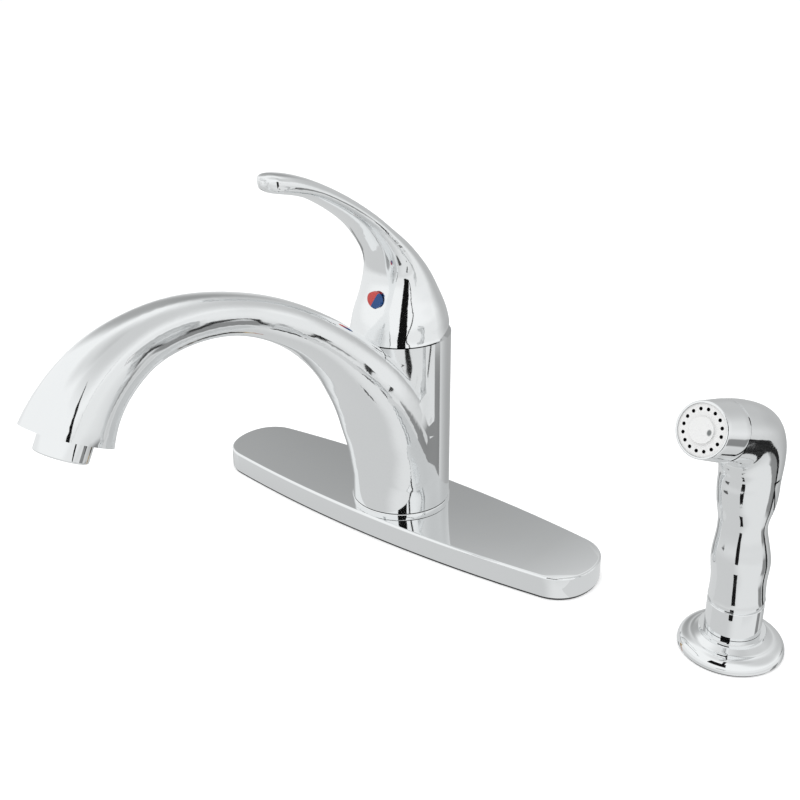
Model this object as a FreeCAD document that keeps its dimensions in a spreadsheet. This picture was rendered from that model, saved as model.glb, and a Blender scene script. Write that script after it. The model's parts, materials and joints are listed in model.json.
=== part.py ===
"""Side spray kitchen faucet with a ten-inch deck plate, in millimetres.

The origin lies on the deck, under the gasket, on the axis of the faucet's hole. +X runs along
the deck plate to the sprayer, -Y runs to the user and the spout's outlet, and +Z is up.
"""
import FreeCAD, Part
import math
import os
import re
import Sketcher

doc = FreeCAD.newDocument("side_spray_faucet")
sheet = doc.addObject("Spreadsheet::Sheet", "Sizes")
nodes = []

SIZES = [
    # deck plate and its gasket
    ("plate_half_length", 127.0), ("plate_half_width", 31.0), ("plate_side_radius", 765.0),
    ("plate_end_radius", 30.0), ("plate_corner", 20.0), ("plate_height", 12.0),
    ("plate_edge", 1.3), ("plate_wall", 2.4), ("plate_roof", 2.6), ("gasket_thick", 1.4),
    ("gasket_inset", 0.7), ("boss_wall", 3.5),
    # spout hub and the ring that it turns on
    ("ring_radius", 27.9), ("ring_height", 2.0), ("turning_gap", 0.4), ("hub_radius", 27.5),
    ("hub_flare", 0.2), ("hub_bore", 22.3), ("hub_top", 114.7), ("running_gap", 0.3),
    # spout path, seen from the side: reach is towards the user
    ("crown_reach", 158.3), ("crown_height", 166.6), ("tip_reach", 216.2), ("tip_height", 136.6),
    ("tip_slope", 60.4), ("rise_handle", 70.4), ("crown_back", 75.9), ("crown_front", 27.3),
    ("tip_handle", 21.2), ("spout_wall", 3.0), ("waterway", 5.5), ("outlet_bore", 11.0), ("outlet_depth", 12.0),
    # aerator
    ("aerator_radius", 11.6), ("aerator_drop", 8.7), ("aerator_seat", 5.0),
    ("aerator_bore", 9.7), ("insert_height", 8.0), ("screen_holes", 12), ("screen_hole", 1.1),
    # valve body and cartridge
    ("valve_top", 100.0), ("cup_floor", 82.0), ("cup_radius", 17.4), ("fit_gap", 0.05),
    ("seal_wire", 1.6), ("seal_low", 32.0), ("seal_high", 88.0), ("gallery_radius", 18.0),
    ("gallery_low", 50.0), ("gallery_high", 72.0), ("port_x", 7.6), ("port_y", 3.5),
    ("outlet_y", 8.0), ("port_radius", 3.6), ("disc_thick", 4.0), ("disc_radius", 14.4),
    ("slider_radius", 9.4), ("slider_thick", 3.7), ("shell_wall", 2.8), ("shell_lip", 2.0),
    ("neck_radius", 10.0), ("pivot_rise", 4.0), ("pivot_pin", 1.5), ("ear_height", 5.0),
    ("stem_side", 8.0), ("stem_foot", 5.6), ("stem_top", 146.0), ("nut_height", 5.0), ("nut_flats", 41.0),
    ("bonnet_wall", 1.2), ("bonnet_top", 121.0), ("bonnet_mouth", 11.8),
    # diverter
    ("diverter_radius", 4.4), ("diverter_length", 11.0), ("diverter_low", 33.0),
    ("diverter_travel", 3.0),
    # under the deck
    ("shank_radius", 16.0), ("shank_bore", 13.8), ("shank_length", 68.0), ("shank_grip", 8.0),
    ("deck_thick", 20.0), ("washer_radius", 27.0), ("seal_thick", 3.0), ("washer_thick", 1.6),
    ("lock_nut_height", 11.0), ("lock_nut_flats", 48.0), ("tube_radius", 4.7625),
    ("tube_wall", 0.8), ("tube_end", 120.0), ("bead_radius", 5.7), ("bead_height", 2.0),
    ("bead_drop", 78.0), ("tube_grip", 8.0), ("outlet_end", 150.0), ("outlet_tube", 4.0),
    ("nipple_radius", 6.6), ("nipple_length", 14.0),
    # lever handle, seen from the side
    ("skirt_radius", 27.4), ("skirt_low", 115.3), ("lever_tilt", 16.0), ("bend_reach", 24.9),
    ("bend_height", 177.7), ("bend_slope", 44.4), ("lever_rise", 38.7), ("bend_back", 23.3),
    ("bend_front", 20.1), ("lever_reach", 97.5), ("lever_height", 216.9), ("lever_slope", 8.8),
    ("lever_end", 24.1), ("scoop_radius", 104.0), ("scoop_reach", 119.0),
    ("scoop_height", 110.6), ("scoop_floor", 158.0), ("cavity_low", 24.6), ("cavity_high", 18.5),
    ("cavity_top", 127.0), ("index_radius", 4.75), ("index_height", 138.0), ("index_depth", 3.0),
    ("index_face", 21.6), ("screw_radius", 2.5), ("screw_length", 8.0),
    # sprayer holder
    ("spray_x", 203.2), ("spray_turn", -7.5), ("flange_radius", 25.2), ("flange_height", 6.9),
    ("flange_edge", 5.6), ("collar_radius", 15.8), ("collar_top", 10.4), ("pad_thick", 0.8),
    ("guide_bore", 11.4), ("guide_radius", 14.0), ("guide_length", 46.0),
    ("guide_nut_flats", 40.0), ("guide_nut_height", 8.0), ("guide_washer", 22.0),
    # wand
    ("coupling_radius", 13.3), ("coupling_top", 26.4), ("seam_radius", 12.5), ("grip_low", 28.8),
    ("plug_length", 14.0), ("wand_bore", 5.0), ("inlet_reach", 1.6), ("water_reach", 30.0),
    ("hose_radius", 5.0),
    ("hose_nipple", 16.0), ("hose_flange", 8.5), ("head_reach", 32.8), ("head_height", 127.5),
    ("head_slope", 20.0), ("head_radius", 13.55), ("nozzle_length", 17.0), ("rim_radius", 12.3),
    ("face_radius", 11.3), ("face_thick", 6.0), ("jets", 16), ("jet_circle", 8.9),
    ("jet_radius", 0.75), ("nub_radius", 5.6), ("nub_height", 1.0), ("grip_rise", 85.0),
    ("head_bend", 38.0), ("finger_pitch", 30.0), ("finger_depth", 0.5), ("finger_start", 30.0),
    # trigger and its valve
    ("trigger_low", 74.5), ("trigger_top", 95.4), ("trigger_face", 2.4), ("trigger_gap", 0.5),
    ("trigger_swing", 3.0), ("wing_reach", 5.0), ("wing_lean", 15.0), ("wing_gap", 0.4),
    ("core_half", 9.0), ("block_half", 5.0), ("block_top", 104.0), ("trigger_pin", 1.5),
    ("trigger_pin_reach", 7.5), ("trigger_pin_height", 100.5), ("trigger_pin_half", 9.0),
    ("plunger_height", 84.0), ("plunger_radius", 2.4), ("plunger_head", 3.0),
    ("gland_thick", 3.0), ("valve_bore", 4.6), ("valve_depth", 12.0), ("spring_room", 6.0),
    ("spring_wire", 0.5), ("spring_radius", 3.1), ("spring_coils", 4), ("nozzle_water", 3.0),
]


def fill_sheet():
    for row, (alias, value) in enumerate(SIZES, start=1):
        sheet.set(f"A{row}", alias)
        sheet.set(f"B{row}", str(value))
        sheet.setAlias(f"B{row}", alias)
    doc.recompute()


fill_sheet()
ALIASES = {alias for alias, _ in SIZES}


def formula(text):
    """Write each alias in a formula as a cell of the sheet."""
    return re.sub(r"[a-z_]+", lambda word: "Sizes." + word[0] if word[0] in ALIASES else word[0],
                  str(text))


def bind(item, prop, text):
    item.setExpression(prop, formula(text))


def size(alias):
    return float(sheet.get(alias))


def place(item, x="0", y="0", z="0"):
    for letter, text in zip("xyz", (x, y, z)):
        bind(item, f"Placement.Base.{letter}", text)


def turn(item, axis, angle):
    """Turn an item about an axis through its own base point, by a bound angle."""
    item.Placement.Rotation = FreeCAD.Rotation(FreeCAD.Vector(*axis), 1.0)
    bind(item, "Placement.Rotation.Angle", f"({angle}) * 1 deg")


def rod(name, radius, low, high, x="0", y="0"):
    item = doc.addObject("Part::Cylinder", name)
    bind(item, "Radius", radius)
    bind(item, "Height", f"({high}) - ({low})")
    place(item, x, y, low)
    return item


def slab(name, wide, deep, tall, x="0", y="0", z="0"):
    """A box centred on x and y, standing on z."""
    item = doc.addObject("Part::Box", name)
    bind(item, "Length", wide)
    bind(item, "Width", deep)
    bind(item, "Height", tall)
    place(item, f"({x}) - ({wide}) / 2", f"({y}) - ({deep}) / 2", z)
    return item


def cone(name, low_radius, high_radius, low, high):
    item = doc.addObject("Part::Cone", name)
    bind(item, "Radius1", low_radius)
    bind(item, "Radius2", high_radius)
    bind(item, "Height", f"({high}) - ({low})")
    place(item, z=low)
    return item


def hexagon(name, flats, low, high, x="0", y="0"):
    item = doc.addObject("Part::Prism", name)
    item.Polygon = 6
    bind(item, "Circumradius", f"({flats}) / sqrt(3)")
    bind(item, "Height", f"({high}) - ({low})")
    place(item, x, y, low)
    return item


def fuse(name, *items):
    item = doc.addObject("Part::MultiFuse", name)
    item.Shapes = list(items)
    return item


def common(name, *items):
    item = doc.addObject("Part::MultiCommon", name)
    item.Shapes = list(items)
    return item


def cut(name, base, *tools):
    item = doc.addObject("Part::Cut", name)
    item.Base = base
    item.Tool = tools[0] if len(tools) == 1 else fuse(name + "_tools", *tools)
    return item


def node(name, item):
    """Give a finished sub-part the label that names its file."""
    item.Label = name
    nodes.append(item)
    return item


def circles_at(item, spots):
    """Name the edges of an item that are whole circles of the given radii and heights."""
    doc.recompute()
    names = []
    for number, edge in enumerate(item.Shape.Edges, start=1):
        curve = edge.Curve
        if not isinstance(curve, Part.Circle):
            continue
        for radius, height in spots:
            if abs(curve.Radius - radius) < 0.01 and abs(curve.Center.z - height) < 0.01:
                names.append(f"Edge{number}")
    return names


def turned(name, profile, spots=(), edge="0.5"):
    """Revolve a closed profile of (radius, height) corners, and round the circles at spots."""
    body = doc.addObject("PartDesign::Body", name)
    sketch = body.newObject("Sketcher::SketchObject", name + "_profile")
    plane = next(item for item in body.Origin.OriginFeatures if item.Role == "XZ_Plane")
    sketch.AttachmentSupport = [(plane, "")]
    sketch.MapMode = "FlatFace"
    number = len(profile)
    guess = [FreeCAD.Vector(10 + 5 * math.cos(6.28 * i / number), 5 * math.sin(6.28 * i / number), 0)
             for i in range(number)]
    for i in range(number):
        sketch.addGeometry(Part.LineSegment(guess[i], guess[(i + 1) % number]), False)
    for i in range(number):
        sketch.addConstraint(Sketcher.Constraint("Coincident", i, 2, (i + 1) % number, 1))
    for i, (radius, height) in enumerate(profile):
        for kind, text in (("DistanceX", radius), ("DistanceY", height)):
            index = sketch.addConstraint(Sketcher.Constraint(kind, -1, 1, i, 1, 1.0 + i))
            bind(sketch, f"Constraints[{index}]", text)
    doc.recompute()
    solid = body.newObject("PartDesign::Revolution", name + "_turn")
    solid.Profile = sketch
    solid.ReferenceAxis = (sketch, ["V_Axis"])
    solid.Angle = 360
    if spots:
        doc.recompute()
        wanted = [(sheet_value(radius), sheet_value(height)) for radius, height in spots]
        round_edge = body.newObject("PartDesign::Fillet", name + "_edges")
        round_edge.Base = (solid, circles_at(solid, wanted))
        bind(round_edge, "Radius", edge)
        body.Tip = round_edge
    return body


def sheet_value(text):
    """The number that a formula of sizes gives now."""
    probe = doc.addObject("App::FeaturePython", "probe")
    probe.addProperty("App::PropertyFloat", "Value")
    probe.setExpression("Value", formula(text))
    doc.recompute()
    value = probe.Value
    doc.removeObject(probe.Name)
    return value


# Deck plate: two long arcs meet two end arcs, and the four corners between them are rounded.
def plate_outline(name, inset, low, high):
    shift = "plate_side_radius - plate_half_width"
    reach = "plate_half_length - plate_end_radius"
    front = rod(name + "_front", f"plate_side_radius - ({inset})", low, high, y=shift)
    back = rod(name + "_back", f"plate_side_radius - ({inset})", low, high, y=f"-({shift})")
    middle = slab(name + "_middle", f"2 * ({reach})", "3 * plate_half_width",
                  f"({high}) - ({low})", z=low)
    right = rod(name + "_right", f"plate_end_radius - ({inset})", low, high, x=reach)
    left = rod(name + "_left", f"plate_end_radius - ({inset})", low, high, x=f"-({reach})")
    blank = common(name + "_blank", front, back, fuse(name + "_span", middle, right, left))
    doc.recompute()
    corner = size("plate_corner") - sheet_value(inset)
    item = doc.addObject("Part::Fillet", name)
    item.Base = blank
    item.Edges = [(number, corner, corner) for number, edge in enumerate(blank.Shape.Edges, 1)
                  if isinstance(edge.Curve, Part.Line) and abs(edge.CenterOfMass.y) > corner / 4]
    return item


def rounded_top(name, base, radius):
    """Round every edge that lies in an item's top plane."""
    doc.recompute()
    top = max(vertex.Z for vertex in base.Shape.Vertexes)
    item = doc.addObject("Part::Fillet", name)
    item.Base = base
    item.Edges = [(number, radius, radius) for number, edge in enumerate(base.Shape.Edges, 1)
                  if all(abs(vertex.Z - top) < 0.001 for vertex in edge.Vertexes)]
    return item


PLATE_TOP = "gasket_thick + plate_height"
RING_TOP = f"{PLATE_TOP} + ring_height"
SHANK_HOLE = "shank_radius + running_gap"


def deck_gasket():
    sheet_blank = plate_outline("gasket_sheet", "gasket_inset", "0", "gasket_thick")
    hole = rod("gasket_hole", SHANK_HOLE, "-1", "gasket_thick + 1")
    node("deck_gasket", cut("gasket", sheet_blank, hole))


def deck_plate():
    skin = rounded_top("plate_skin", plate_outline("plate_block", "0", "gasket_thick", PLATE_TOP),
                       size("plate_edge"))
    hollow = plate_outline("plate_hollow", "plate_wall", "gasket_thick - 1",
                           f"{PLATE_TOP} - plate_roof")
    boss = rod("plate_boss", f"{SHANK_HOLE} + boss_wall", "gasket_thick - 1", PLATE_TOP)
    ribs = [slab(f"plate_rib_{number}", "plate_wall", "2 * plate_half_width", "plate_height",
                 x=f"{spot} * plate_half_length", z="gasket_thick - 1")
            for number, spot in enumerate((-0.6, -0.3, 0.3, 0.6), 1)]
    room = cut("plate_room", hollow, boss, *ribs)
    hole = rod("plate_hole", SHANK_HOLE, "-1", f"{PLATE_TOP} + 1")
    node("deck_plate", cut("plate", skin, room, hole))


def base_ring():
    node("base_ring", turned("ring", [
        ("hub_bore", PLATE_TOP), ("ring_radius", PLATE_TOP), ("ring_radius", RING_TOP),
        ("hub_bore", RING_TOP)], [("ring_radius", RING_TOP)], "0.5"))


# Brass valve body: a cup for the cartridge, two seal grooves, a gallery that feeds the spout,
# and bores for the inlet tubes and the diverter.
VALVE_RADIUS = "hub_bore - running_gap"
SEAL_MIDDLE = "hub_bore - fit_gap - seal_wire"
SOCKET_TOP = f"{PLATE_TOP} + shank_grip"
TUBE_TOP = f"{SOCKET_TOP} + tube_grip"
PORTS = (("hot", "-port_x", "-port_y"), ("cold", "port_x", "-port_y"), ("mixed", "0", "outlet_y"))


def valve_body():
    blank = rod("valve_blank", VALVE_RADIUS, PLATE_TOP, "valve_top")
    cuts = [rod("valve_cup", "cup_radius", "cup_floor", "valve_top + 1"),
            rod("valve_socket", "shank_radius + fit_gap", f"{PLATE_TOP} - 1", SOCKET_TOP)]
    for seal in ("seal_low", "seal_high"):
        cuts.append(groove(f"valve_{seal}", f"{SEAL_MIDDLE} - seal_wire - fit_gap",
                           f"{seal} - seal_wire - fit_gap", f"{seal} + seal_wire + fit_gap"))
    cuts.append(groove("valve_gallery", "gallery_radius", "gallery_low", "gallery_high"))
    for name, x, y in PORTS[:2]:
        cuts.append(rod(f"valve_{name}_seat", "tube_radius + fit_gap", f"{SOCKET_TOP} - 1",
                        TUBE_TOP, x, y))
        cuts.append(rod(f"valve_{name}_port", "port_radius", f"{TUBE_TOP} - 1",
                        "cup_floor + 1", x, y))
    cuts.append(rod("valve_hose_seat", "outlet_tube + fit_gap", f"{SOCKET_TOP} - 1", TUBE_TOP,
                    "0", "outlet_y"))
    cuts.append(rod("valve_diverter_bore", "diverter_radius + fit_gap", f"{TUBE_TOP} + 1",
                    "diverter_low + diverter_length + diverter_travel + 1", "0", "outlet_y"))
    cuts.append(rod("valve_mixed_port", "port_radius", f"{TUBE_TOP} - 1", "cup_floor + 1", "0",
                    "outlet_y"))
    side = rod("valve_side_port", "port_radius", "0", "gallery_radius + 2")
    bind(side, "Height", "gallery_radius + 2 - outlet_y")
    turn(side, (1, 0, 0), "-90")
    place(side, "0", "outlet_y", "(gallery_low + gallery_high) / 2")
    node("valve_body", cut("valve", blank, *cuts, side))


def groove(name, radius, low, high):
    """A ring of air round the valve body, down to a radius."""
    return cut(name, rod(name + "_out", "hub_bore + 2", low, high),
               rod(name + "_in", radius, f"({low}) - 1", f"({high}) + 1"))


def seal_ring(name, height):
    item = doc.addObject("Part::Torus", name)
    bind(item, "Radius1", SEAL_MIDDLE)
    bind(item, "Radius2", "seal_wire")
    place(item, z=height)
    node(name, item)


# Ceramic cartridge: a shell over a fixed disc, a sliding disc and a turning carrier.
FIXED_TOP = "cup_floor + disc_thick"
SLIDER_LOW = f"{FIXED_TOP} + fit_gap / 2"
SLIDER_TOP = f"{SLIDER_LOW} + slider_thick"
CARRIER_LOW = f"{SLIDER_TOP} + running_gap"
SHELL_RADIUS = "cup_radius - fit_gap"
SHELL_BORE = f"{SHELL_RADIUS} - shell_wall"
SHELL_TOP = "valve_top + shell_lip"
PIVOT = f"{SHELL_TOP} + pivot_rise"
SLOT = "stem_side + 2 * running_gap"


def cartridge_shell():
    node("cartridge_shell", turned("shell", [
        (SHELL_BORE, "cup_floor"), (SHELL_RADIUS, "cup_floor"), (SHELL_RADIUS, "valve_top"),
        (f"{SHELL_RADIUS} - 2", "valve_top"), (f"{SHELL_RADIUS} - 2", SHELL_TOP),
        ("neck_radius + fit_gap", SHELL_TOP), ("neck_radius + fit_gap", f"{SHELL_TOP} - 2.5"),
        (SHELL_BORE, f"{SHELL_TOP} - 2.5")]))


def fixed_disc():
    blank = rod("fixed_blank", "disc_radius", "cup_floor", FIXED_TOP)
    ports = [rod(f"fixed_{name}", "port_radius", "cup_floor - 1", f"{FIXED_TOP} + 1", x, y)
             for name, x, y in PORTS]
    node("fixed_disc", cut("fixed", blank, *ports))


def sliding_disc():
    blank = rod("slider_blank", "slider_radius", SLIDER_LOW, SLIDER_TOP)
    pocket = slab("slider_pocket", SLOT, "stem_foot + 2 * running_gap", "slider_thick",
                  z=f"{SLIDER_TOP} - slider_thick / 2")
    chamber = slab("slider_chamber", "2.4 * port_radius", "1.4 * slider_radius",
                   "slider_thick / 3 + 1", z=f"{SLIDER_LOW} - 1")
    node("sliding_disc", cut("slider", blank, pocket, chamber))


def disc_carrier():
    shoulder = rod("carrier_shoulder", f"{SHELL_BORE} - fit_gap", CARRIER_LOW,
                   f"{SHELL_TOP} - 2.5 - fit_gap")
    neck = rod("carrier_neck", "neck_radius", CARRIER_LOW, f"{PIVOT} + ear_height")
    slot = slab("carrier_slot", SLOT, "3 * neck_radius", f"{PIVOT} + 2 * ear_height",
                z=SHELL_TOP)
    throat = slab("carrier_throat", SLOT, "1.5 * stem_side + 4", PIVOT,
                  z=f"{CARRIER_LOW} - 1")
    eye = rod("carrier_eye", "pivot_pin", "0", "2 * neck_radius + 2")
    bind(eye, "Height", "2 * neck_radius + 2")
    turn(eye, (0, 1, 0), "90")
    place(eye, "-neck_radius - 1", "0", PIVOT)
    node("disc_carrier", cut("carrier", fuse("carrier_blank", shoulder, neck), slot, throat, eye))


def pivot_pin():
    pin = rod("pin", "pivot_pin - fit_gap / 2", "0", "1")
    bind(pin, "Height", "2 * neck_radius - 2")
    turn(pin, (0, 1, 0), "90")
    place(pin, "1 - neck_radius", "0", PIVOT)
    node("pivot_pin", pin)


def cartridge_stem():
    stem = slab("stem_bar", "stem_side", "stem_side", f"stem_top - ({SLIDER_TOP} - 1)",
                z=f"{SLIDER_TOP} - 1")
    relief = [slab(f"stem_relief_{side}", "2 * stem_side", "stem_side",
                   f"{PIVOT} - 5 - ({SLIDER_TOP} - 2)",
                   y=f"{sign}1 * (stem_foot + stem_side) / 2", z=f"{SLIDER_TOP} - 2")
              for side, sign in (("front", "-"), ("back", ""))]
    eye = rod("stem_eye", "pivot_pin", "0", "1")
    bind(eye, "Height", "2 * stem_side")
    turn(eye, (0, 1, 0), "90")
    place(eye, "-stem_side", "0", PIVOT)
    node("cartridge_stem", cut("stem", stem, eye, *relief))


def cartridge_nut():
    ring = hexagon("nut_hex", "nut_flats", "valve_top", "valve_top + nut_height")
    disc = rod("nut_disc", f"{VALVE_RADIUS} - 0.2", "valve_top", "valve_top + nut_height")
    bore = rod("nut_bore", f"{SHELL_RADIUS} - 2 + fit_gap", "valve_top - 1",
               "valve_top + nut_height + 1")
    node("cartridge_nut", cut("nut", common("nut_blank", ring, disc), bore))


def bonnet():
    low = "valve_top + nut_height"
    wall = "bonnet_wall"
    node("bonnet", turned("bonnet_shell", [
        (f"{VALVE_RADIUS} - {wall}", low), (VALVE_RADIUS, low), (VALVE_RADIUS, "bonnet_top - 6"),
        (f"{VALVE_RADIUS} - 2", "bonnet_top - 2.5"), (f"{VALVE_RADIUS} - 6", "bonnet_top - 0.5"),
        ("bonnet_mouth", "bonnet_top"), ("bonnet_mouth", f"bonnet_top - {wall}"),
        (f"{VALVE_RADIUS} - 6", f"bonnet_top - 0.5 - {wall}"),
        (f"{VALVE_RADIUS} - 2 - {wall}", f"bonnet_top - 2.5 - {wall}"),
        (f"{VALVE_RADIUS} - {wall}", f"bonnet_top - 6 - {wall}")]))


def diverter():
    low = "diverter_low"
    high = "diverter_low + diverter_length"
    spool = rod("diverter_spool", "diverter_radius", low, high, "0", "outlet_y")
    waist = cut("diverter_waist", rod("diverter_out", "diverter_radius + 1", f"{low} + 3",
                                      f"{high} - 3", "0", "outlet_y"),
                rod("diverter_in", "diverter_radius / 2", f"{low} + 2", f"{high} - 2", "0",
                    "outlet_y"))
    node("diverter", cut("diverter_plunger", spool, waist))


# Under the deck: hollow shank, washers, lock nut, inlet tubes and the sprayer's outlet.
def mounting_shank():
    tube = rod("shank_tube", "shank_radius", "-shank_length", SOCKET_TOP)
    bore = rod("shank_bore_tool", "shank_bore", "-shank_length - 1", f"{SOCKET_TOP} + 1")
    node("mounting_shank", cut("shank", tube, bore))


def washer(name, inner, outer, low, high, x="0"):
    disc = rod(name + "_disc", outer, low, high, x)
    hole = rod(name + "_hole", inner, f"({low}) - 1", f"({high}) + 1", x)
    node(name, cut(name + "_ring", disc, hole))


def nut(name, inner, flats, low, high, x="0"):
    hexa = hexagon(name + "_hex", flats, low, high, x)
    collar = rod(name + "_collar", f"({flats}) / 2 + 2", f"({high}) - 2", high, x)
    hole = rod(name + "_hole", inner, f"({low}) - 1", f"({high}) + 1", x)
    node(name, cut(name + "_ring", fuse(name + "_blank", hexa, collar), hole))


def deck_fasteners():
    seal_low = "-deck_thick - seal_thick"
    washer_low = f"{seal_low} - washer_thick"
    washer("deck_seal_washer", SHANK_HOLE, "washer_radius", seal_low, "-deck_thick")
    washer("deck_washer", SHANK_HOLE, "washer_radius", washer_low, seal_low)
    nut("lock_nut", "shank_radius + fit_gap", "lock_nut_flats", f"{washer_low} - lock_nut_height",
        washer_low)


def inlet_tube(name, x):
    """A copper tube that reaches up into the valve body, with a bead below the shank."""
    outer = rod(name + "_outer", "tube_radius", "-tube_end", TUBE_TOP, x, "-port_y")
    bead = rod(name + "_bead", "bead_radius", "-bead_drop", "bead_height - bead_drop", x,
               "-port_y")
    bore = rod(name + "_bore", "tube_radius - tube_wall", "-tube_end - 1", f"{TUBE_TOP} + 1", x,
               "-port_y")
    node(name, cut(name + "_tube", fuse(name + "_blank", outer, bead), bore))


def spray_outlet():
    tube = rod("outlet_pipe", "outlet_tube", "-outlet_end + 1", TUBE_TOP, "0", "outlet_y")
    tip = rod("outlet_tip", "nipple_radius", "-outlet_end", "nipple_length - outlet_end", "0",
              "outlet_y")
    bore = rod("outlet_hole", "outlet_tube - tube_wall", "-outlet_end - 1", f"{TUBE_TOP} + 1",
               "0", "outlet_y")
    node("spray_outlet", cut("outlet", fuse("outlet_blank", tube, tip), bore))


# Swept castings: superellipse sections stand square to a path of two Bezier curves.
def bezier(points, share):
    """The point of a cubic Bezier curve at a share of its run, and the direction there."""
    first, second, third, last = points
    rest = 1 - share
    spot = (first * rest ** 3 + second * (3 * rest ** 2 * share)
            + third * (3 * rest * share ** 2) + last * share ** 3)
    along = ((second - first) * rest ** 2 + (third - second) * (2 * rest * share)
             + (last - third) * share ** 2)
    return spot, along.normalize()


def side_point(forward, height):
    return FreeCAD.Vector(0, -forward, height)


def slope(angle):
    """The direction that runs towards the user and climbs at an angle."""
    return side_point(math.cos(math.radians(angle)), math.sin(math.radians(angle)))


def path_at(curves, shares):
    """The points at some shares of the length of joined Bezier curves, with directions."""
    steps = 150
    fine = [bezier(points, step / steps) for points in curves for step in range(steps + 1)]
    reach = [0.0]
    for before, after in zip(fine, fine[1:]):
        reach.append(reach[-1] + (after[0] - before[0]).Length)
    stations = []
    for share in shares:
        spot = next(i for i, value in enumerate(reach) if value >= share * reach[-1] - 1e-9)
        stations.append((share, *fine[spot]))
    return stations


def even(count):
    return [step / (count - 1) for step in range(count)]


def smooth(knots, share):
    """A cubic curve through (share, value) knots that stays between its neighbours' values."""
    rates = [(after[1] - before[1]) / (after[0] - before[0])
             for before, after in zip(knots, knots[1:])]
    slopes = [rates[0]]
    for before, after in zip(rates, rates[1:]):
        slopes.append(2 * before * after / (before + after) if before * after > 0 else 0.0)
    slopes.append(rates[-1])
    spot = next(i for i, knot in enumerate(knots[1:]) if share <= knot[0] + 1e-9)
    (low, first), (high, second) = knots[spot], knots[spot + 1]
    step = high - low
    part = (share - low) / step
    rest = 1 - part
    return (first * rest * rest * (1 + 2 * part) + second * part * part * (3 - 2 * part)
            + step * (slopes[spot] * part * rest * rest - slopes[spot + 1] * part * part * rest))


def section(centre, along, half_wide, half_tall, power, points=20):
    """A closed superellipse that stands square to a path."""
    across = FreeCAD.Vector(1, 0, 0)
    normal = across.cross(along)
    ring = []
    for step in range(points):
        angle = 2 * math.pi * step / points
        wide = math.copysign(abs(math.cos(angle)) ** (2 / power), math.cos(angle))
        tall = math.copysign(abs(math.sin(angle)) ** (2 / power), math.sin(angle))
        ring.append(centre + across * (half_wide * wide) + normal * (half_tall * tall))
    curve = Part.BSplineCurve()
    curve.interpolate(Points=ring, PeriodicFlag=True)
    return Part.Wire(curve.toShape())


def lofted(name, wires):
    item = doc.addObject("Part::Feature", name)
    item.Shape = Part.makeLoft(wires, True, False)
    return item


def spout_curves():
    base = side_point(0, sheet_value(RING_TOP) + size("turning_gap"))
    crown = side_point(size("crown_reach"), size("crown_height"))
    tip = side_point(size("tip_reach"), size("tip_height"))
    level = slope(0)
    return [
        (base, base + FreeCAD.Vector(0, 0, size("rise_handle")),
         crown - level * size("crown_back"), crown),
        (crown, crown + level * size("crown_front"),
         tip - slope(-size("tip_slope")) * size("tip_handle"), tip)]


SPOUT_WIDTH = ((0, 26.9), (0.12, 26.5), (0.25, 24.6), (0.38, 18.3), (0.5, 15.0), (0.65, 10.6),
               (0.8, 10.8), (0.9, 13.0), (1, 15.6))
SPOUT_DEPTH = ((0, 26.9), (0.12, 23.2), (0.25, 17.9), (0.38, 13.9), (0.5, 11.2), (0.65, 9.7),
               (0.8, 11.9), (0.9, 15.5), (1, 20.4))


def spout():
    stations = path_at(spout_curves(), even(21))
    wires = [section(centre, along, smooth(SPOUT_WIDTH, share), smooth(SPOUT_DEPTH, share),
                     2 + 0.5 * min(1, 6 * share))
             for share, centre, along in stations]
    arm = lofted("spout_arm", wires)
    low = f"{RING_TOP} + turning_gap"
    hub = cone("spout_hub", "hub_radius", "hub_radius + hub_flare", low, "hub_top")
    bore = rod("spout_bore", "hub_bore", f"{low} - 1", "hub_top + 40")
    crown_room = rod("spout_crown_room", "skirt_radius + 2", "hub_top", "hub_top + 40")
    wall = size("spout_wall")
    core = [section(centre, along, smooth(SPOUT_WIDTH, share) - wall,
                    smooth(SPOUT_DEPTH, share) - wall, 2.2, points=16)
            for share, centre, along in stations[4:-1]]
    hollow = lofted("spout_core", core)
    water = tip_rod("spout_waterway", "waterway", "outlet_depth + 2 * spout_wall + 4",
                    stations[-1])
    mouth = tip_rod("spout_mouth", "outlet_bore", "outlet_depth", stations[-1])
    node("spout", cut("spout_casting", fuse("spout_blank", arm, hub), bore, crown_room, hollow,
                      water, mouth))


def tip_rod(name, radius, depth, station):
    """A rod that runs back into the spout from its outlet plane."""
    _, tip, along = station
    item = doc.addObject("Part::Cylinder", name)
    bind(item, "Radius", radius)
    bind(item, "Height", f"({depth}) + 1")
    item.Placement = FreeCAD.Placement(tip - along * sheet_value(depth),
                                       FreeCAD.Rotation(FreeCAD.Vector(0, 0, 1), along))
    return item


def at_outlet(item, drop):
    """Stand an item on the spout's outlet plane, pointing out, a drop beyond it."""
    tip = side_point(size("tip_reach"), size("tip_height"))
    along = slope(-size("tip_slope"))
    item.Placement = FreeCAD.Placement(tip + along * sheet_value(drop),
                                       FreeCAD.Rotation(FreeCAD.Vector(0, 0, 1), along))
    return item


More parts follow.
